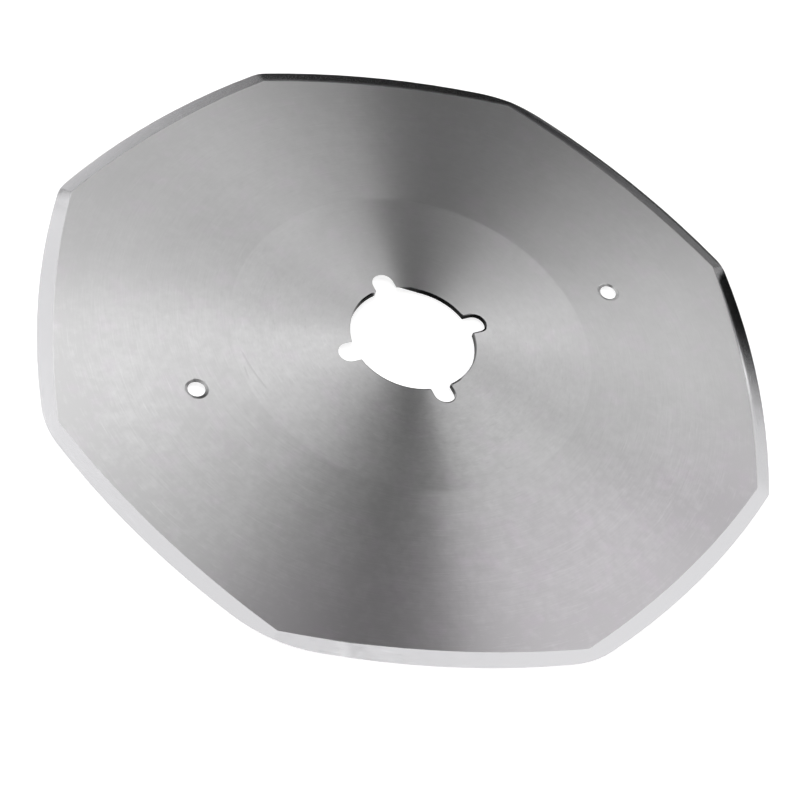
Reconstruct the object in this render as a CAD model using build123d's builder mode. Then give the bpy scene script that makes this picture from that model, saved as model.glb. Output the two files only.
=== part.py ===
import os
from math import cos, hypot, pi, radians, sin, sqrt

from build123d import *

os.makedirs("parts", exist_ok=True)

# Octagonal rotary blade for a fabric cutter, lying on its flat back.
# The origin is on the bore axis in the plane of the back, +Z points out of the ground face,
# and the two pin holes lie on the X axis. Sizes are in millimetres.

# Outline, seen from above. Grinding by hand has left the corners uneven. Listed from +X anticlockwise are
# how much further out each one stands before it is honed, how many degrees round, and its honed radius.
across_corners = 100.0
side_bow_radius = 108.0
corner_offsets = (0.05, 0.55, -0.2, 0.1, -0.1, 0.3, -0.1, 0.05)
corner_turns = (0.35, 1.75, 0.6, -0.4, -0.1, -0.1, 0.3, -0.4)
corner_radii = (6.0, 18.0, 5.0, 6.0, 12.0, 20.0, 12.0, 1.5)

# Section, from the flat clamping zone out to the cutting edge
hub_thickness = 0.7
clamp_zone_diameter = 48.0
rim_thickness = 0.36
bevel_width = 1.92
edge_land = 0.05

# Drive bore
bore_diameter = 16.7
notch_count = 4
notch_width = 2.9
notch_depth = 2.4

# Pin holes, deburred on both faces
pin_count = 2
pin_circle_diameter = 60.8
pin_hole_diameter = 2.2
pin_chamfer_width = 0.4
pin_chamfer_depth = 0.14

# Each side is an arc between two corners, struck from a centre across the blade. These are an even side's sizes.
side_count = len(corner_radii)
side_step = 2 * pi / side_count
corner_radius = across_corners / 2
half_side = corner_radius * sin(side_step / 2)
side_centre_offset = sqrt(side_bow_radius**2 - half_side**2) - corner_radius * cos(side_step / 2)
middle_of_side_radius = side_bow_radius - side_centre_offset

# The ground face falls at one slope from the clamping zone to the bevel, and on to the corners.
clamp_radius = clamp_zone_diameter / 2
taper_end_radius = middle_of_side_radius - bevel_width
taper_slope = (hub_thickness - rim_thickness) / (taper_end_radius - clamp_radius)
bevel_slope = (rim_thickness - edge_land) / bevel_width

# Grinding shapes reach this far past the blank, so that every cut runs right through it.
overrun = 2.0


def face_height(radius):
    return hub_thickness - taper_slope * max(0.0, radius - clamp_radius)


def polar(radius, angle):
    return (radius * cos(angle), radius * sin(angle))


def corner_point(corner):
    corner %= side_count
    return polar(corner_radius + corner_offsets[corner], corner * side_step + radians(corner_turns[corner]))


def side_arc(side):
    start, end = corner_point(side), corner_point(side + 1)
    chord = hypot(end[0] - start[0], end[1] - start[1])
    outward = ((end[1] - start[1]) / chord, (start[0] - end[0]) / chord)
    to_chord = sqrt(side_bow_radius**2 - (chord / 2) ** 2)
    centre = tuple((a + b) / 2 - to_chord * way for a, b, way in zip(start, end, outward))
    middle = tuple(place + side_bow_radius * way for place, way in zip(centre, outward))
    return start, middle, end, centre, outward


with BuildPart() as blade:
    # Blank: eight bowed sides with honed corners
    with BuildSketch() as outline:
        with BuildLine():
            for side in range(side_count):
                start, middle, end, centre, outward = side_arc(side)
                ThreePointArc(start, middle, end)
        make_face()
        for index, radius in enumerate(corner_radii):
            fillet(outline.vertices().sort_by_distance((*corner_point(index), 0))[0], radius)
    extrude(amount=hub_thickness)

    # Ground face: flat where it is clamped, then a slight cone
    with BuildSketch(Plane.XZ):
        outer_radius = corner_radius + overrun
        with BuildLine():
            Polyline(
                (0, -overrun),
                (outer_radius, -overrun),
                (outer_radius, face_height(outer_radius)),
                (clamp_radius, hub_thickness),
                (0, hub_thickness),
                close=True,
            )
        make_face()
    revolve(axis=Axis.Z, mode=Mode.INTERSECT)

    # Cutting bevel: one conical pass for each side, on that side's own centre
    for side in range(side_count):
        start, middle, end, centre, outward = side_arc(side)
        away_from_side = (-outward[0], -outward[1], 0)
        across = (-outward[1], outward[0], 0)
        with BuildSketch(Plane(origin=(*centre, 0), x_dir=away_from_side, z_dir=across)):
            foot_radius = side_bow_radius + (edge_land + overrun) / bevel_slope
            top_radius = side_bow_radius - (hub_thickness - edge_land) / bevel_slope
            with BuildLine():
                Polyline(
                    (0, -overrun),
                    (foot_radius, -overrun),
                    (top_radius, hub_thickness),
                    (0, hub_thickness),
                    close=True,
                )
            make_face()
        revolve(axis=Axis((*centre, 0), (0, 0, 1)), mode=Mode.INTERSECT)

    # Drive bore: a round hole with round-ended notches that line up with the corners
    with BuildSketch():
        Circle(bore_diameter / 2)
        notch_end = bore_diameter / 2 + notch_depth - notch_width / 2
        with PolarLocations(notch_end / 2, notch_count):
            SlotCenterToCenter(notch_end, notch_width)
    extrude(amount=hub_thickness, mode=Mode.SUBTRACT)

    # Pin holes, each widening to a shallow chamfer at the back and at the ground face
    pin_radius = pin_hole_diameter / 2
    pin_circle_radius = pin_circle_diameter / 2
    pin_face_height = face_height(pin_circle_radius)
    chamfer_slope = pin_chamfer_depth / pin_chamfer_width
    chamfer_run = pin_chamfer_width + overrun
    for pin in range(pin_count):
        spot = polar(pin_circle_radius, pin * 2 * pi / pin_count)
        with BuildSketch(Plane(origin=(*spot, 0), x_dir=(1, 0, 0), z_dir=(0, -1, 0))):
            with BuildLine():
                Polyline(
                    (0, pin_chamfer_depth - chamfer_run * chamfer_slope),
                    (pin_radius + chamfer_run, pin_chamfer_depth - chamfer_run * chamfer_slope),
                    (pin_radius, pin_chamfer_depth),
                    (pin_radius, pin_face_height - pin_chamfer_depth),
                    (
                        pin_radius + chamfer_run,
                        pin_face_height - pin_chamfer_depth + chamfer_run * chamfer_slope,
                    ),
                    (0, pin_face_height - pin_chamfer_depth + chamfer_run * chamfer_slope),
                    close=True,
                )
            make_face()
        revolve(axis=Axis((*spot, 0), (0, 0, 1)), mode=Mode.SUBTRACT)

blade.part.label = "fabric_cutter_blade"
export_step(blade.part, "parts/fabric_cutter_blade.step")
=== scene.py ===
import math

import bmesh
import bpy
from mathutils import Matrix, Vector

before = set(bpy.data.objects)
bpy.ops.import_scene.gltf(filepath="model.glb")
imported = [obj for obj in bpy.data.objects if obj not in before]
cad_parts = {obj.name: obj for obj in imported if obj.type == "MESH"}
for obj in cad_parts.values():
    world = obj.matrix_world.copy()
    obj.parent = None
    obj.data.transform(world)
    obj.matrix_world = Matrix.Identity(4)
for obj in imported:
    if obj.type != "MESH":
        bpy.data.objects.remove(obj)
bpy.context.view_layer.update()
print("frame loaded")

# Octagonal rotary blade on a white sweep.
# Lengths in the dictionaries are millimetres, unless a name or a note says otherwise.


# Small helpers for shader trees. A value may be a number or the socket of another node.
def putIn(tree, socket, value):
    if isinstance(value, bpy.types.NodeSocket):
        tree.links.new(value, socket)
    else:
        socket.default_value = value


def addNode(tree, kind, settings=None, **values):
    node = tree.nodes.new("ShaderNode" + kind)
    for name, setting in (settings or {}).items():
        setattr(node, name, setting)
    for name, value in values.items():
        putIn(tree, node.inputs[name.replace("_", " ")], value)
    return node


def maths(tree, operation, *values, clamp=False):
    node = tree.nodes.new("ShaderNodeMath")
    node.operation = operation
    node.use_clamp = clamp
    for socket, value in zip(node.inputs, values):
        putIn(tree, socket, value)
    return node.outputs[0]


# One operation all along a row of values, as in a sum or a product
def chain(tree, operation, values):
    result = values[0]
    for value in values[1:]:
        result = maths(tree, operation, result, value)
    return result


def vectorMaths(tree, operation, *values):
    node = tree.nodes.new("ShaderNodeVectorMath")
    node.operation = operation
    for socket, value in zip(node.inputs, values):
        putIn(tree, socket, value)
    return node.outputs


def scaleVector(tree, vector, factor):
    return addNode(tree, "VectorMath", {"operation": "SCALE"}, Vector=vector, Scale=factor).outputs[0]


def joinVector(tree, x, y, z=0.0):
    return addNode(tree, "CombineXYZ", X=x, Y=y, Z=z).outputs[0]


def noise(tree, place, seed, detail, roughness=0.5):
    node = addNode(tree, "TexNoise", {"noise_dimensions": "4D"}, Vector=place, W=seed, Scale=1.0,
                   Detail=detail, Roughness=roughness)
    return node.outputs[0]


def softStep(tree, value, low, high, atLow=0.0, atHigh=1.0):
    node = tree.nodes.new("ShaderNodeMapRange")
    node.interpolation_type = "SMOOTHSTEP"
    for name, number in (("From Min", low), ("From Max", high), ("To Min", atLow), ("To Max", atHigh)):
        node.inputs[name].default_value = number
    putIn(tree, node.inputs["Value"], value)
    return node.outputs["Result"]


mixSockets = {"FLOAT": (2, 3, 0), "VECTOR": (4, 5, 1), "RGBA": (6, 7, 2)}  # two inputs and the output


def blend(tree, share, first, second, kind="FLOAT"):
    firstPlace, secondPlace, resultPlace = mixSockets[kind]
    node = tree.nodes.new("ShaderNodeMix")
    node.data_type = kind
    putIn(tree, node.inputs[0], share)
    putIn(tree, node.inputs[firstPlace], first)
    putIn(tree, node.inputs[secondPlace], second)
    return node.outputs[resultPlace]


def newGroup(name, inputs, outputs):
    tree = bpy.data.node_groups.new(name, "ShaderNodeTree")
    for title, kind, value in inputs:
        socket = tree.interface.new_socket(title, in_out="INPUT", socket_type="NodeSocket" + kind)
        if value is not None:
            socket.default_value = value
    for title, kind in outputs:
        tree.interface.new_socket(title, in_out="OUTPUT", socket_type="NodeSocket" + kind)
    return tree, tree.nodes.new("NodeGroupInput").outputs, tree.nodes.new("NodeGroupOutput").inputs


def useGroup(tree, group, **values):
    node = tree.nodes.new("ShaderNodeGroup")
    node.node_tree = group
    for name, value in values.items():
        putIn(tree, node.inputs[name.replace("_", " ")], value)
    return node.outputs


# Grinding lines round the axis, 0 to 1 across the lines and drawn out along them, without a seam.
# Round lines follow the circle. Leaning lines cross it at the angle Lean, in radians.
def makeGrindLines():
    tree, given, out = newGroup(
        "grindLines",
        [
            ("Radius", "Float", 30.0),
            ("Angle", "Float", 0.0),
            ("Lean", "Float", 0.1),
            ("Line Width", "Float", 0.3),
            ("Line Length", "Float", 8.0),
            ("Seed", "Float", 0.0),
        ],
        [("Round", "Float"), ("Leaning", "Float")],
    )
    middleRadius = 30.0  # where the widths and lengths are true

    def linesFrom(turning, size, depth):
        turnedX = maths(tree, "MULTIPLY", maths(tree, "COSINE", turning), size)
        turnedY = maths(tree, "MULTIPLY", maths(tree, "SINE", turning), size)
        return noise(tree, joinVector(tree, turnedX, turnedY, depth), given["Seed"], 2.0, 0.6)

    roundSize = maths(tree, "DIVIDE", middleRadius, given["Line Length"])
    roundDepth = maths(tree, "DIVIDE", given["Radius"], given["Line Width"])
    putIn(tree, out["Round"], linesFrom(given["Angle"], roundSize, roundDepth))

    # Leaning lines run along a spiral that meets every circle at the same angle
    slant = maths(tree, "SINE", given["Lean"])
    logRadius = maths(tree, "LOGARITHM", given["Radius"], math.e)
    spiral = maths(tree, "ADD", given["Angle"],
                   maths(tree, "DIVIDE", logRadius, maths(tree, "TANGENT", given["Lean"])))
    leaningSize = maths(tree, "DIVIDE", maths(tree, "MULTIPLY", slant, middleRadius), given["Line Width"])
    leaningLength = maths(tree, "MULTIPLY", given["Line Length"], slant)
    leaningDepth = maths(tree, "DIVIDE", given["Radius"], leaningLength)
    putIn(tree, out["Leaning"], linesFrom(spiral, leaningSize, leaningDepth))
    return tree


# Cloudy patches, as handling and coolant leave on ground steel, and as paper has
def makePatches():
    tree, given, out = newGroup(
        "softPatches",
        [("Position", "Vector", None), ("Size", "Float", 8.0), ("Seed", "Float", 0.0)],
        [("Patches", "Float")],
    )
    shrunk = scaleVector(tree, given["Position"], maths(tree, "DIVIDE", 1.0, given["Size"]))
    putIn(tree, out["Patches"], noise(tree, shrunk, given["Seed"], 3.0))
    return tree


grindLines = makeGrindLines()
softPatches = makePatches()


def patchesOf(tree, position, size, seed):
    return useGroup(tree, softPatches, Position=position, Size=size, Seed=seed)["Patches"]


# The blade: one ground steel plate.
# The two numbers of a mask are where it is 0 and where it is 1.
# The four numbers of a soft step are where it starts and ends, then its value there.
bladeLook = {
    # The solid's own sizes, so that the masks meet its edges
    "acrossCorners": 100.0,
    "cornerOffsets": (0.05, 0.55, -0.2, 0.1, -0.1, 0.3, -0.1, 0.05),
    "cornerTurns": (0.35, 1.75, 0.6, -0.4, -0.1, -0.1, 0.3, -0.4),
    "sideBowRadius": 108.0,
    "hubThickness": 0.7,
    "clampRadius": 24.0,
    "taperSlope": 0.01547,
    "bevelSlope": 0.16146,
    "edgeLand": 0.05,
    "boreRadius": 8.35,
    "notchEndCentre": 9.3,
    "notchHalfWidth": 1.45,
    "pinCircleRadius": 30.4,
    "pinRingRadius": 1.5,
    # Masks: two by how far a surface faces up, one by its steepness, and two by radius
    "groundFacing": (0.4, 0.6),
    "wallFacing": (0.65, 0.35),
    "bevelSteepness": (0.06, 0.1),
    "holeZone": (40.0, 38.0),
    "boreZone": (14.0, 13.0),
    "clampBlur": 0.15,  # how soft the edge of the clamping zone is
    # Colours and roughness
    "steelDark": (0.655, 0.652, 0.655, 1.0),
    "steelLight": (0.787, 0.784, 0.789, 1.0),
    "bevelSteel": (0.624, 0.62, 0.634, 1.0),
    "wallSteel": (0.96, 0.96, 0.96, 1.0),  # burnished by the arbor and the pins
    "shadeAndEdgeMarkColour": (0.0005, 0.0005, 0.0005, 1.0),  # near black: painted shade on the bore wall, the pin chamfers and the bore's edge, with the burr and the darker edge land
    "clampRoughness": 0.336,
    "faceRoughness": 0.338,
    "bevelRoughness": 0.086,
    "wallRoughness": 0.25,
    "shadeAndEdgeMarkRoughness": 0.5,
    "grainRoughness": 0.05,
    # Grinding lines, which lean off the circle outside the clamping zone
    "acrossGrain": 1.0,  # how much they draw the shine out
    "shineLean": 4.3,  # degrees that the shine leans
    "lineLean": 6.88,  # degrees that the lines lean
    "coarseLine": (0.3, 1.8, 1.0),  # width, length and seed
    "fineLine": (0.12, 7.0, 2.0),
    "bevelLineRadius": 47.0,  # where the lengths are true on the bevel
    "coarseContrast": 6.0,  # of the few deep strokes
    "fineContrast": 0.35,
    "lineDepth": 0.0005,
    # Tone of the face
    "outerTone": -0.26,  # the face outside the clamping zone is a little darker
    "rimTone": (38.0, 46.0, 0.0, -0.22),  # and darker still beside the bevel: a soft step by radius
    "patches": (9.0, 5.0, 0.35),  # size, seed and contrast
    "smudges": (2.6, 9.0, 0.7),
    "spots": (0.9, 6.0, 0.8),
    # One side was handled more, in streaks
    "handledWay": (-0.5, -0.85),  # how much x and y count towards that side
    "handled": (-15.0, 28.0, 0.65, 1.6),  # a soft step that way
    "streaks": (24.0, 8.0),  # size and seed
    "streaky": (0.4, 0.65, 0.8, 1.2),  # a soft step of their strength
    # A faint violet film of oil, in spots and at the -Y side
    "tarnish": (1.05, 1.0, 1.055, 1.0),
    "films": (3.5, 11.0),  # size and seed
    "filmSpots": (0.52, 0.68, 0.0, 0.4),  # a soft step of their strength
    "filmSide": (-36.0, -18.0, 0.5, 0.0),  # a soft step by y
    # The tables run by degrees anticlockwise from the +X notch.
    # How far the shoulder of the bevel is worn round, and how dark a burr is at the edge
    "shoulder": (
        (-180, 0.15, 0.0), (-50, 0.15, 0.0), (-32, 0.7, 0.0), (-14, 1.0, 0.0), (-6, 1.0, 0.0),
        (-0.6, 0.8, 0.0), (0.9, 0.74, 0.8), (34, 0.6, 0.8), (46, 0.6, 0.0), (90, 0.6, 0.0),
        (96, 0.03, 0.0), (137, 0.03, 0.0), (142, 0.15, 0.0), (180, 0.15, 0.0),
    ),
    "shoulderHeight": 0.03,
    "shoulderBlur": 1.5,  # times how far the shoulder is worn
    "burrWidth": 0.5,
    "burrBlur": 0.12,
    # Painted highlights and painted shade along the bevel, by degrees: how much lighter or darker it is than
    # its usual tone
    "bevelLightAndShade": (
        (-180, 0.98), (-135, 1.0), (-129, 1.09), (-127.5, 1.06), (-126.6, 0.97), (-125.3, 0.97),
        (-124.3, 1.2), (-122, 1.18), (-119, 1.1), (-114, 1.03), (-46, 1.0), (-43, 0.89), (-31, 0.88),
        (-28, 0.94), (-23, 1.55), (-20, 1.5), (-12, 0.42), (-4, 0.6), (0, 1.0), (28, 0.92), (38, 0.8),
        (52, 0.75), (82, 1.0), (87, 1.18), (91.5, 1.01), (114, 0.98), (120, 0.93), (133, 0.93),
        (138, 1.01), (144, 0.95), (180, 0.98),
    ),
    # A painted highlight: a bright wedge beside one mitre, by degrees
    "mitrePaintedHighlight": 0.6,
    "mitreStart": (134.5, 134.7),
    "mitreEnd": (138.5, 135.5),
    # One corner was knocked: its bevel is rough as far as a slanting line. Over a span of degrees there, the
    # outer edge land is made darker
    "bluntRoughness": 0.26,
    "bluntSlant": 1.2,  # degrees for each millimetre in from the edge
    "bluntLine": (-2.4, -0.7),  # degrees, one millimetre in from the edge
    "bluntStart": (-4.5, -3.5),
    "bluntEnd": (0.4, 0.1),
    "darkEdgeLand": 0.9,
    "darkLandStart": (-9.0, -7.0),
    "darkLandEnd": (-0.4, -1.2),
    # Painted shade on the bore wall, by degrees: its darkness, and the share of the wall that it reaches down
    "boreWallPaintedShade": (
        (-180, 0.0, 1.0), (-165, 0.3, 1.0), (-92, 0.3, 1.0), (-84.5, 0.1, 1.0), (-82.5, 0.6, 1.0),
        (-81.3, 0.97, 1.0), (-78, 1.0, 1.0), (-72, 0.6, 1.0), (-62, 0.4, 1.0), (-40, 0.8, 1.0),
        (-32, 0.92, 1.0), (-16, 0.92, 1.0), (-12, 0.9, 1.0), (-10, 1.0, 1.0), (10, 1.0, 1.0),
        (12, 0.98, 1.0), (22, 0.99, 1.0), (34, 1.0, 1.0), (56, 1.0, 1.0), (60, 0.98, 0.85),
        (68, 0.97, 0.6), (72, 0.95, 0.35), (77, 0.9, 0.02), (79, 0.0, 0.02), (101, 0.0, 1.0),
        (103, 1.0, 1.0), (126, 1.0, 1.0), (133, 0.8, 1.0), (145, 0.2, 1.0), (165, 0.0, 1.0),
        (180, 0.0, 1.0),
    ),
    "wallShadeReach": 1.1,  # so that a whole share passes the foot of the wall
    "wallShadeBlur": 0.05,
    # Painted shade: the dark line at the bore's edge, by degrees: its width and its darkness
    "edgeLine": (
        (-180, 0.10, 0.05), (-150, 0.12, 0.45), (-107, 0.12, 0.5), (-103, 0.18, 0.6), (-98, 0.10, 0.2),
        (-91, 0.18, 0.75), (-86, 0.16, 0.7), (-80, 0.05, 0.3), (-79.3, 0.22, 0.9), (-70, 0.22, 0.9),
        (-65, 0.12, 0.5), (-60, 0.10, 0.45), (-40, 0.14, 0.65), (-12, 0.14, 0.65), (-10, 0.18, 0.9),
        (-9, 0.27, 1.0), (-7.6, 0.27, 1.0), (-6, 0.16, 1.0), (-1, 0.10, 0.8), (3, 0.04, 0.3),
        (9.2, 0.04, 0.3), (10, 0.18, 0.95), (13, 0.05, 0.4), (60, 0.08, 0.3), (66, 0.14, 0.8),
        (78, 0.06, 0.0), (102, 0.06, 0.0), (105, 0.18, 1.0), (118, 0.19, 1.0), (126, 0.14, 0.75),
        (142, 0.11, 0.2), (180, 0.10, 0.05),
    ),
    "edgeLineBlur": 0.25,  # times its width
    # Painted shade on the pin holes' chamfers, by degrees round each hole: at the -X hole and at the +X hole
    "pinPaintedShade": (
        (-180, 0.0, 0.15), (-150, 0.0, 0.18), (-120, 0.5, 0.2), (-90, 0.85, 0.12), (-60, 0.84, 0.15),
        (-30, 0.6, 0.33), (0, 0.5, 0.4), (30, 0.25, 0.0), (60, 0.0, 0.0), (90, 0.52, 0.57),
        (120, 0.72, 0.42), (150, 0.14, 0.0), (180, 0.0, 0.15),
    ),
    "pinShadeShift": -0.08,
    "pinShadeBlur": 0.08,
    # Two scuffs: the radius at each end, then the degrees at each end
    "scuffs": ((23.1, 22.0, 169.0, 187.5), (23.35, 23.55, 175.0, 181.5)),
    "scuffWidth": 0.2,
    "scuffFade": 3.0,  # degrees
    "scuffDepth": 0.9,
}


# Centres that the sides are struck from, worked out from the corners as the solid has them
def sideCentres(look):
    corners = []
    for evenPlace, offset, turn in zip(range(0, 360, 45), look["cornerOffsets"], look["cornerTurns"]):
        reach, place = look["acrossCorners"] / 2 + offset, math.radians(evenPlace + turn)
        corners.append(Vector((reach * math.cos(place), reach * math.sin(place))))
    centres = []
    for start, end in zip(corners, corners[1:] + corners[:1]):
        chord = end - start
        inward = Vector((-chord.y, chord.x)).normalized()
        toChord = math.sqrt(look["sideBowRadius"] ** 2 - (chord.length / 2) ** 2)
        centres.append((start + end) / 2 + inward * toChord)
    return centres


def makeBladeSteel(look):
    material = bpy.data.materials.new("groundBladeSteel")
    material.use_nodes = True
    tree = material.node_tree
    tree.nodes.clear()

    def times(*values):
        return chain(tree, "MULTIPLY", values)

    def plus(*values):
        return chain(tree, "ADD", values)

    def minus(first, second):
        return maths(tree, "SUBTRACT", first, second)

    def divide(first, second):
        return maths(tree, "DIVIDE", first, second)

    def larger(*values):
        return chain(tree, "MAXIMUM", values)

    def smaller(*values):
        return chain(tree, "MINIMUM", values)

    def unsigned(value):
        return maths(tree, "ABSOLUTE", value)

    def length(first, second):
        return maths(tree, "SQRT", plus(times(first, first), times(second, second)))

    # A soft step that may run either way, from a start to an end
    def step(value, start, end, atStart=0.0, atEnd=1.0):
        if start < end:
            return softStep(tree, value, start, end, atStart, atEnd)
        return softStep(tree, value, end, start, atEnd, atStart)

    # 1 above an edge or below it, and 0 on its other side
    def above(value, edge, blur):
        return step(value, edge - blur, edge + blur)

    def below(value, edge, blur):
        return step(value, edge + blur, edge - blur)

    # A colour made lighter or darker by a number, or tinted by another colour
    def colourTimes(colour, factor):
        values = (value[:3] if isinstance(value, tuple) else value for value in (colour, factor))
        return vectorMaths(tree, "MULTIPLY", *values)[0]

    shader = addNode(tree, "BsdfPrincipled")
    addNode(tree, "OutputMaterial", Surface=shader.outputs[0])
    coordinates = addNode(tree, "TexCoord").outputs
    position = scaleVector(tree, coordinates["Object"], 1000.0)  # in millimetres
    x, y, z = addNode(tree, "SeparateXYZ", Vector=position).outputs
    outwardX, outwardY, facing = addNode(tree, "SeparateXYZ", Vector=coordinates["Normal"]).outputs
    radius = length(x, y)
    angle = maths(tree, "ARCTAN2", y, x)
    degrees = times(angle, 180 / math.pi)

    # Values by degrees, from rows of degrees and one or two values. A ramp holds at most 32 rows.
    def byDegrees(rows, turned=degrees):
        ramp = addNode(tree, "ValToRGB", Fac=plus(divide(turned, 360.0), 0.5))
        stops = ramp.color_ramp.elements
        for index, (place, *values) in enumerate(rows):
            stop = stops[index] if index < 2 else stops.new(1.0)
            stop.position = place / 360 + 0.5
            stop.color = (values[0] / 2, values[-1] / 2, 0.0, 1.0)  # a ramp holds values up to 1
        channels = addNode(tree, "SeparateColor", Color=ramp.outputs[0]).outputs
        return times(channels[0], 2.0), times(channels[1], 2.0)

    def patchesHere(size, seed):
        return patchesOf(tree, position, size, seed)

    # Height of the ground face, and of each side's bevel as if it ran on.
    # The lowest of them is the blade's own surface.
    taper = times(larger(minus(radius, look["clampRadius"]), 0.0), look["taperSlope"])
    faceHeight = minus(look["hubThickness"], taper)
    flatPlace = joinVector(tree, x, y)
    bevelHeights = []
    for centre in sideCentres(look):
        away = vectorMaths(tree, "DISTANCE", flatPlace, (centre.x, centre.y, 0.0))["Value"]
        rise = times(minus(look["sideBowRadius"], away), look["bevelSlope"])
        bevelHeights.append(plus(rise, look["edgeLand"]))
    bevelHeight = smaller(*bevelHeights)
    fromEdge = divide(minus(bevelHeight, look["edgeLand"]), look["bevelSlope"])

    # Wear rounds the shoulder and the mitres: a soft minimum of all the heights, less the true one
    roundness, burr = byDegrees(look["shoulder"])
    lowest = smaller(bevelHeight, faceHeight)
    softness = times(roundness, look["shoulderHeight"])
    near = [maths(tree, "EXPONENT", divide(minus(lowest, height), softness))
            for height in bevelHeights + [faceHeight]]
    wornAway = times(maths(tree, "LOGARITHM", plus(*near), math.e), softness, -1.0)

    groundSide = step(facing, *look["groundFacing"])
    wallMask = step(unsigned(facing), *look["wallFacing"])
    holeZone = step(radius, *look["holeZone"])
    pastShoulder = divide(minus(faceHeight, bevelHeight), softness)
    bevelMask = times(above(pastShoulder, 0.0, look["shoulderBlur"]), groundSide)
    outerMask = times(above(radius, look["clampRadius"], look["clampBlur"]), groundSide)

    # Distance from the bore's outline, which is a circle with four round-ended notches
    acrossX, acrossY = unsigned(x), unsigned(y)
    pastEnd = larger(minus(larger(acrossX, acrossY), look["notchEndCentre"]), 0.0)
    fromNotch = minus(length(pastEnd, smaller(acrossX, acrossY)), look["notchHalfWidth"])
    fromBore = smaller(minus(radius, look["boreRadius"]), fromNotch)
    # A dark line of painted shade along the bore's edge
    lineWidth, lineShade = byDegrees(look["edgeLine"])
    edgeLine = times(below(divide(fromBore, lineWidth), 1.0, look["edgeLineBlur"]), groundSide, lineShade)

    # Painted shade on the bore wall, from the top down
    wallShade, wallReach = byDegrees(look["boreWallPaintedShade"])
    depth = minus(1.0, divide(z, look["hubThickness"]))
    reached = below(minus(depth, times(wallReach, look["wallShadeReach"])), 0.0, look["wallShadeBlur"])
    boreWallPaintedShade = times(wallMask, step(radius, *look["boreZone"]), wallShade, reached)

    # Painted shade on the chamfers of the pin holes, not quite centred on them
    sideOfPin = minus(x, times(maths(tree, "SIGN", x), look["pinCircleRadius"]))
    shiftedY = minus(y, look["pinShadeShift"])
    degreesRoundPin = times(maths(tree, "ARCTAN2", shiftedY, sideOfPin), 180 / math.pi)
    atLeftPin, atRightPin = byDegrees(look["pinPaintedShade"], degreesRoundPin)
    inPinRing = below(length(sideOfPin, shiftedY), look["pinRingRadius"], look["pinShadeBlur"])
    atPin = blend(tree, above(x, 0.0, 1.0), atLeftPin, atRightPin)
    pinLine = times(inPinRing, minus(1.0, wallMask), atPin)

    # A burr along the edge, and the outer edge land made darker over a span of degrees
    burrLine = times(below(fromEdge, look["burrWidth"], look["burrBlur"]), bevelMask, burr)
    alongDarkLand = times(step(degrees, *look["darkLandStart"]), step(degrees, *look["darkLandEnd"]))
    darkEdgeLand = times(wallMask, minus(1.0, holeZone), alongDarkLand, look["darkEdgeLand"])
    # Where the near-black colour goes: painted shade on the bore wall, the pin chamfers and the bore's edge,
    # with the burr and the darker edge land
    shadeAndEdgeMarks = larger(boreWallPaintedShade, darkEdgeLand, edgeLine, pinLine, burrLine)

    # Two fine scuffs, where something rubbed against the edge of the clamping zone
    wrapped = maths(tree, "FLOORED_MODULO", degrees, 360.0)
    scuffMasks = []
    for startRadius, endRadius, startAngle, endAngle in look["scuffs"]:
        share = maths(tree, "DIVIDE", minus(wrapped, startAngle), endAngle - startAngle, clamp=True)
        offLine = unsigned(minus(radius, plus(times(share, endRadius - startRadius), startRadius)))
        fadeIn = step(wrapped, startAngle, startAngle + look["scuffFade"])
        fadeOut = step(wrapped, endAngle, endAngle - look["scuffFade"])
        scuffMasks.append(times(step(offLine, look["scuffWidth"], 0.0), fadeIn, fadeOut))
    scuffMask = times(larger(*scuffMasks), groundSide)

    # Grinding lines of the clamping zone, of the face round it and of the bevel
    def lines(width, long, seed):
        face = useGroup(tree, grindLines, Radius=radius, Angle=angle, Lean=math.radians(look["lineLean"]),
                        Line_Width=width, Line_Length=long, Seed=seed)
        onFace = blend(tree, outerMask, face["Round"], face["Leaning"])
        bevelPlace = joinVector(tree, divide(fromEdge, width), times(angle, look["bevelLineRadius"] / long))
        return minus(blend(tree, bevelMask, onFace, noise(tree, bevelPlace, seed, 1.0)), 0.5)

    def marks(size, seed, contrast):
        return times(minus(patchesHere(size, seed), 0.5), contrast)

    coarse, fine = lines(*look["coarseLine"]), lines(*look["fineLine"])
    handledX, handledY = look["handledWay"]
    handled = step(plus(times(x, handledX), times(y, handledY)), *look["handled"])
    streaky = times(handled, step(patchesHere(*look["streaks"]), *look["streaky"]))
    strokes = times(coarse, unsigned(coarse), look["coarseContrast"])
    grain = plus(times(strokes, streaky), times(fine, look["fineContrast"]))
    marksOfUse = plus(marks(*look["spots"]), marks(*look["smudges"]))
    mottle = plus(marks(*look["patches"]), times(marksOfUse, streaky))
    tone = plus(grain, mottle, 0.5, times(outerMask, look["outerTone"]), step(radius, *look["rimTone"]))
    tone = minus(tone, times(scuffMask, look["scuffDepth"]))

    # Colour: the face, the film on it, the bevel with its painted highlights and shade, the walls of the
    # holes, then the near-black painted shade and edge marks
    steel = blend(tree, tone, look["steelDark"], look["steelLight"], "RGBA")
    filmSpots = step(patchesHere(*look["films"]), *look["filmSpots"])
    filmShare = plus(step(y, *look["filmSide"]), filmSpots)
    steel = blend(tree, filmShare, steel, colourTimes(steel, look["tarnish"]), "RGBA")
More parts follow.
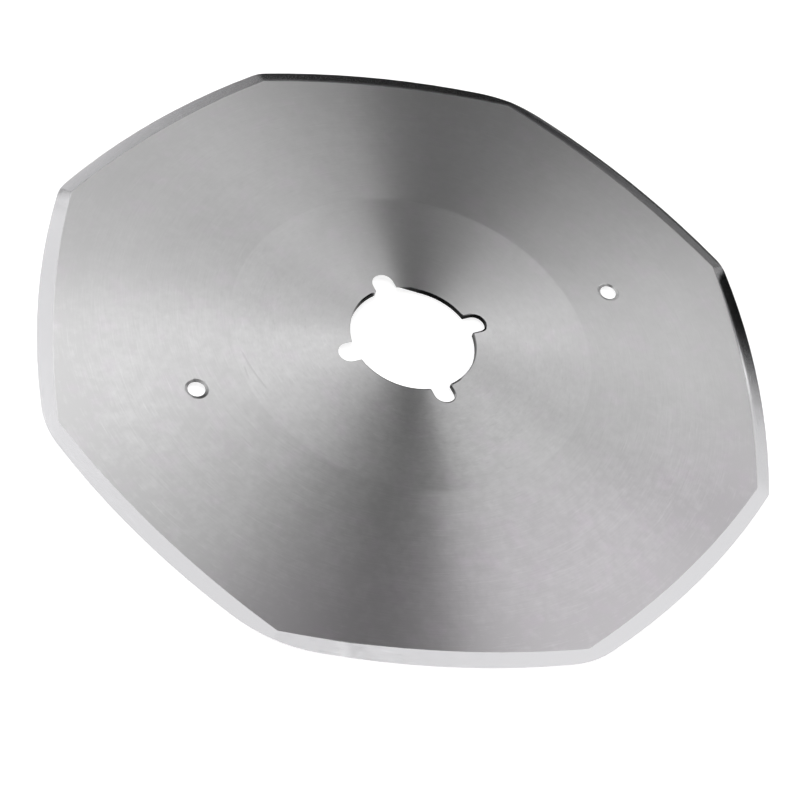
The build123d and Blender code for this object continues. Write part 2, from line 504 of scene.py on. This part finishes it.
    # Painted highlights and painted shade on the bevel, by degrees, and a painted highlight in a wedge beside
    # one mitre
    besideMitre = times(step(degrees, *look["mitreStart"]), step(degrees, *look["mitreEnd"]))
    bevelLightAndShade = plus(byDegrees(look["bevelLightAndShade"])[0], times(besideMitre, look["mitrePaintedHighlight"]))
    steel = blend(tree, bevelMask, steel, colourTimes(look["bevelSteel"], bevelLightAndShade), "RGBA")
    steel = blend(tree, times(wallMask, holeZone), steel, look["wallSteel"], "RGBA")
    putIn(tree, shader.inputs["Base Color"], blend(tree, shadeAndEdgeMarks, steel, look["shadeAndEdgeMarkColour"], "RGBA"))

    # Roughness: the face, the bevel, the knocked corner, the walls, then under the painted shade and edge
    # marks
    ground = blend(tree, outerMask, look["clampRoughness"], look["faceRoughness"])
    ground = blend(tree, bevelMask, ground, look["bevelRoughness"])
    slanted = plus(degrees, times(minus(fromEdge, 1.0), look["bluntSlant"]))
    blunt = times(step(slanted, *look["bluntLine"]), step(degrees, *look["bluntStart"]),
                  step(degrees, *look["bluntEnd"]), bevelMask)
    ground = blend(tree, blunt, ground, look["bluntRoughness"])
    ground = plus(ground, times(grain, look["grainRoughness"]))
    ground = blend(tree, wallMask, ground, look["wallRoughness"])
    putIn(tree, shader.inputs["Roughness"], blend(tree, shadeAndEdgeMarks, ground, look["shadeAndEdgeMarkRoughness"]))

    relief = plus(times(plus(coarse, fine), look["lineDepth"]), times(wornAway, groundSide))
    bump = addNode(tree, "Bump", Height=relief, Strength=1.0, Distance=0.001)  # a height of 1 is a millimetre
    putIn(tree, shader.inputs["Normal"], bump.outputs[0])
    shader.inputs["Metallic"].default_value = 1.0
    shader.inputs["Anisotropic"].default_value = look["acrossGrain"]

    # The shine spreads across the lines, so the tangent points across them
    faceAngle = plus(angle, times(outerMask, math.radians(look["shineLean"])))
    acrossFace = joinVector(tree, maths(tree, "COSINE", faceAngle), maths(tree, "SINE", faceAngle))
    steepness = larger(length(outwardX, outwardY), 0.001)
    acrossBevel = joinVector(tree, divide(outwardX, steepness), divide(outwardY, steepness))
    onBevel = step(steepness, *look["bevelSteepness"])
    putIn(tree, shader.inputs["Tangent"], blend(tree, onBevel, acrossFace, acrossBevel, "VECTOR"))
    return material


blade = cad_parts["fabric_cutter_blade"]
bladeSteel = makeBladeSteel(bladeLook)
for materialSlot in blade.material_slots:
    materialSlot.material = bladeSteel
print("blade steel made")

# White sweep: a flat floor whose rim curves up to a low wall all round
sweepLook = {
    "floorRadiusMetres": 3.2,
    "rimRadiusMetres": 4.0,
    "rimHeightMetres": 0.85,
    "curveSteps": 6,
    "roundSteps": 64,
    "dropMillimetres": 0.05,  # keeps the floor off the blade's back
    "paper": (0.6, 0.6, 0.6, 1.0),
    "paperPatches": (40.0, 3.0),  # size and seed
    "paperRoughness": (0.8, 0.95),
    "glow": (1.0, 1.0, 1.0, 1.0),
    "shownWhite": (0.7, 1.0),  # share of white that is seen besides the lit paper, near the blade and far off
    "shownMetres": (0.3, 2.5),  # how near and how far
}


# Pale paper that the lamps light, with a glow that only the camera and the mirrors see
def makeSweepPaper(look):
    material = bpy.data.materials.new("sweepPaper")
    material.use_nodes = True
    tree = material.node_tree
    tree.nodes.clear()
    position = addNode(tree, "TexCoord").outputs["Object"]
    patches = patchesOf(tree, scaleVector(tree, position, 1000.0), *look["paperPatches"])
    paper = addNode(tree, "BsdfPrincipled", Base_Color=look["paper"])
    putIn(tree, paper.inputs["Roughness"], softStep(tree, patches, 0.0, 1.0, *look["paperRoughness"]))
    rays = addNode(tree, "LightPath").outputs
    rayKinds = [rays[kind] for kind in ("Is Camera Ray", "Is Glossy Ray", "Is Transmission Ray")]
    fromBlade = vectorMaths(tree, "LENGTH", position)["Value"]
    white = softStep(tree, fromBlade, *look["shownMetres"], *look["shownWhite"])
    strength = maths(tree, "MULTIPLY", chain(tree, "MAXIMUM", rayKinds), white)
    glow = addNode(tree, "Emission", Color=look["glow"], Strength=strength)
    both = addNode(tree, "AddShader")
    tree.links.new(paper.outputs[0], both.inputs[0])
    tree.links.new(glow.outputs[0], both.inputs[1])
    addNode(tree, "OutputMaterial", Surface=both.outputs[0])
    return material


def makeSweep(look):
    floorRadius = look["floorRadiusMetres"]
    wide = look["rimRadiusMetres"] - floorRadius
    profile = [Vector((0, 0, 0)), Vector((floorRadius, 0, 0))]
    for curveStep in range(1, look["curveSteps"] + 1):
        bend = math.pi / 2 * curveStep / look["curveSteps"]
        height = look["rimHeightMetres"] * (1 - math.cos(bend))
        profile.append(Vector((floorRadius + wide * math.sin(bend), 0, height)))
    shape = bmesh.new()
    corners = [shape.verts.new(place) for place in profile]
    for first, second in zip(corners, corners[1:]):
        shape.edges.new((first, second))
    bmesh.ops.spin(shape, geom=list(shape.verts) + list(shape.edges), cent=(0, 0, 0), axis=(0, 0, 1),
                   angle=2 * math.pi, steps=look["roundSteps"], use_merge=True)
    bmesh.ops.remove_doubles(shape, verts=shape.verts, dist=1e-5)
    bmesh.ops.recalc_face_normals(shape, faces=shape.faces)
    bmesh.ops.translate(shape, verts=shape.verts, vec=(0, 0, -look["dropMillimetres"] / 1000))
    mesh = bpy.data.meshes.new("whiteSweep")
    shape.to_mesh(mesh)
    shape.free()
    for face in mesh.polygons:
        face.use_smooth = True
    mesh.materials.append(makeSweepPaper(look))
    sweep = bpy.data.objects.new("whiteSweep", mesh)
    bpy.context.scene.collection.objects.link(sweep)


makeSweep(sweepLook)
print("sweep made")

# Soft boxes round the blade: direction in degrees, turn about the lamp's own axis in degrees,
# half sizes as a share of the distance, and radiance
lampDistance = 1.5  # metres
softBoxes = {
    "leftBack": {
        "azimuth": 118.7, "elevation": 56.1, "turn": -39.2,
        "halfWidth": 0.69, "halfHeight": 0.42, "radiance": 1.10,
    },
    "leftFront": {
        "azimuth": 120.0, "elevation": 63.2, "turn": -33.3,
        "halfWidth": 0.14, "halfHeight": 0.45, "radiance": 1.13,
    },
    "leftLow": {
        "azimuth": 109.0, "elevation": 30.5, "turn": 23.3,
        "halfWidth": 0.81, "halfHeight": 0.32, "radiance": 1.31,
    },
    "backSmall": {
        "azimuth": 63.4, "elevation": 31.3, "turn": 2.8,
        "halfWidth": 0.62, "halfHeight": 0.08, "radiance": 0.26,
    },
    "rightBack": {
        "azimuth": 9.3, "elevation": 53.1, "turn": -61.1,
        "halfWidth": 0.38, "halfHeight": 0.27, "radiance": 1.13,
    },
    "rightLow": {
        "azimuth": 328.1, "elevation": 39.5, "turn": 29.1,
        "halfWidth": 0.24, "halfHeight": 0.54, "radiance": 1.94,
    },
}


def addSoftBox(name, box):
    azimuth, elevation, turn = (math.radians(box[key]) for key in ("azimuth", "elevation", "turn"))
    flat = math.cos(elevation)
    outward = Vector((flat * math.cos(azimuth), flat * math.sin(azimuth), math.sin(elevation)))
    level = Vector((0, 0, 1)).cross(outward).normalized()
    upright = outward.cross(level)
    wideWay = level * math.cos(turn) + upright * math.sin(turn)
    highWay = outward.cross(wideWay)
    lamp = bpy.data.lights.new(name, "AREA")
    lamp.shape = "RECTANGLE"
    lamp.size = 2 * box["halfWidth"] * lampDistance
    lamp.size_y = 2 * box["halfHeight"] * lampDistance
    lamp.energy = box["radiance"] * math.pi * lamp.size * lamp.size_y
    lampObject = bpy.data.objects.new(name, lamp)
    bpy.context.scene.collection.objects.link(lampObject)
    axes = Matrix((wideWay, highWay, outward)).transposed().to_4x4()  # a lamp shines along its own -Z
    lampObject.matrix_world = Matrix.Translation(outward * lampDistance) @ axes


for boxName, boxValues in softBoxes.items():
    addSoftBox(boxName, boxValues)

worldLook = {"colour": (1.0, 1.0, 1.0, 1.0), "strength": 0.0}  # a dark room
world = bpy.data.worlds.new("studioRoom")
bpy.context.scene.world = world
world.use_nodes = True
world.node_tree.nodes.clear()
background = addNode(world.node_tree, "Background", Color=worldLook["colour"], Strength=worldLook["strength"])
addNode(world.node_tree, "OutputWorld", Surface=background.outputs[0])
print("lamps and room made")

# Camera, from the lines of the photograph: it looks down at the ground face and is rolled to the right
cameraLook = {
    "place": (-112.263, -124.497, 190.006),
    "aim": (-5.81, -8.30, 0.0),
    "roll": 21.18,  # degrees
    "lens": 88.05,
    "sensorWidth": 36.0,
    "clipMetres": (0.01, 50.0),
}


def addCamera(look):
    place, aim = Vector(look["place"]) / 1000, Vector(look["aim"]) / 1000
    lensData = bpy.data.cameras.new("photoCamera")
    lensData.lens = look["lens"]
    lensData.sensor_width = look["sensorWidth"]
    lensData.clip_start, lensData.clip_end = look["clipMetres"]
    camera = bpy.data.objects.new("photoCamera", lensData)
    bpy.context.scene.collection.objects.link(camera)
    ahead = (aim - place).normalized()
    level = ahead.cross(Vector((0, 0, 1))).normalized()
    above = level.cross(ahead)
    roll = math.radians(look["roll"])
    right = level * math.cos(roll) + above * math.sin(roll)
    upward = above * math.cos(roll) - level * math.sin(roll)
    axes = Matrix((right, upward, -ahead)).transposed().to_4x4()
    camera.matrix_world = Matrix.Translation(place) @ axes
    bpy.context.scene.camera = camera


addCamera(cameraLook)
bpy.context.scene.view_settings.view_transform = "Standard"
print("camera set")
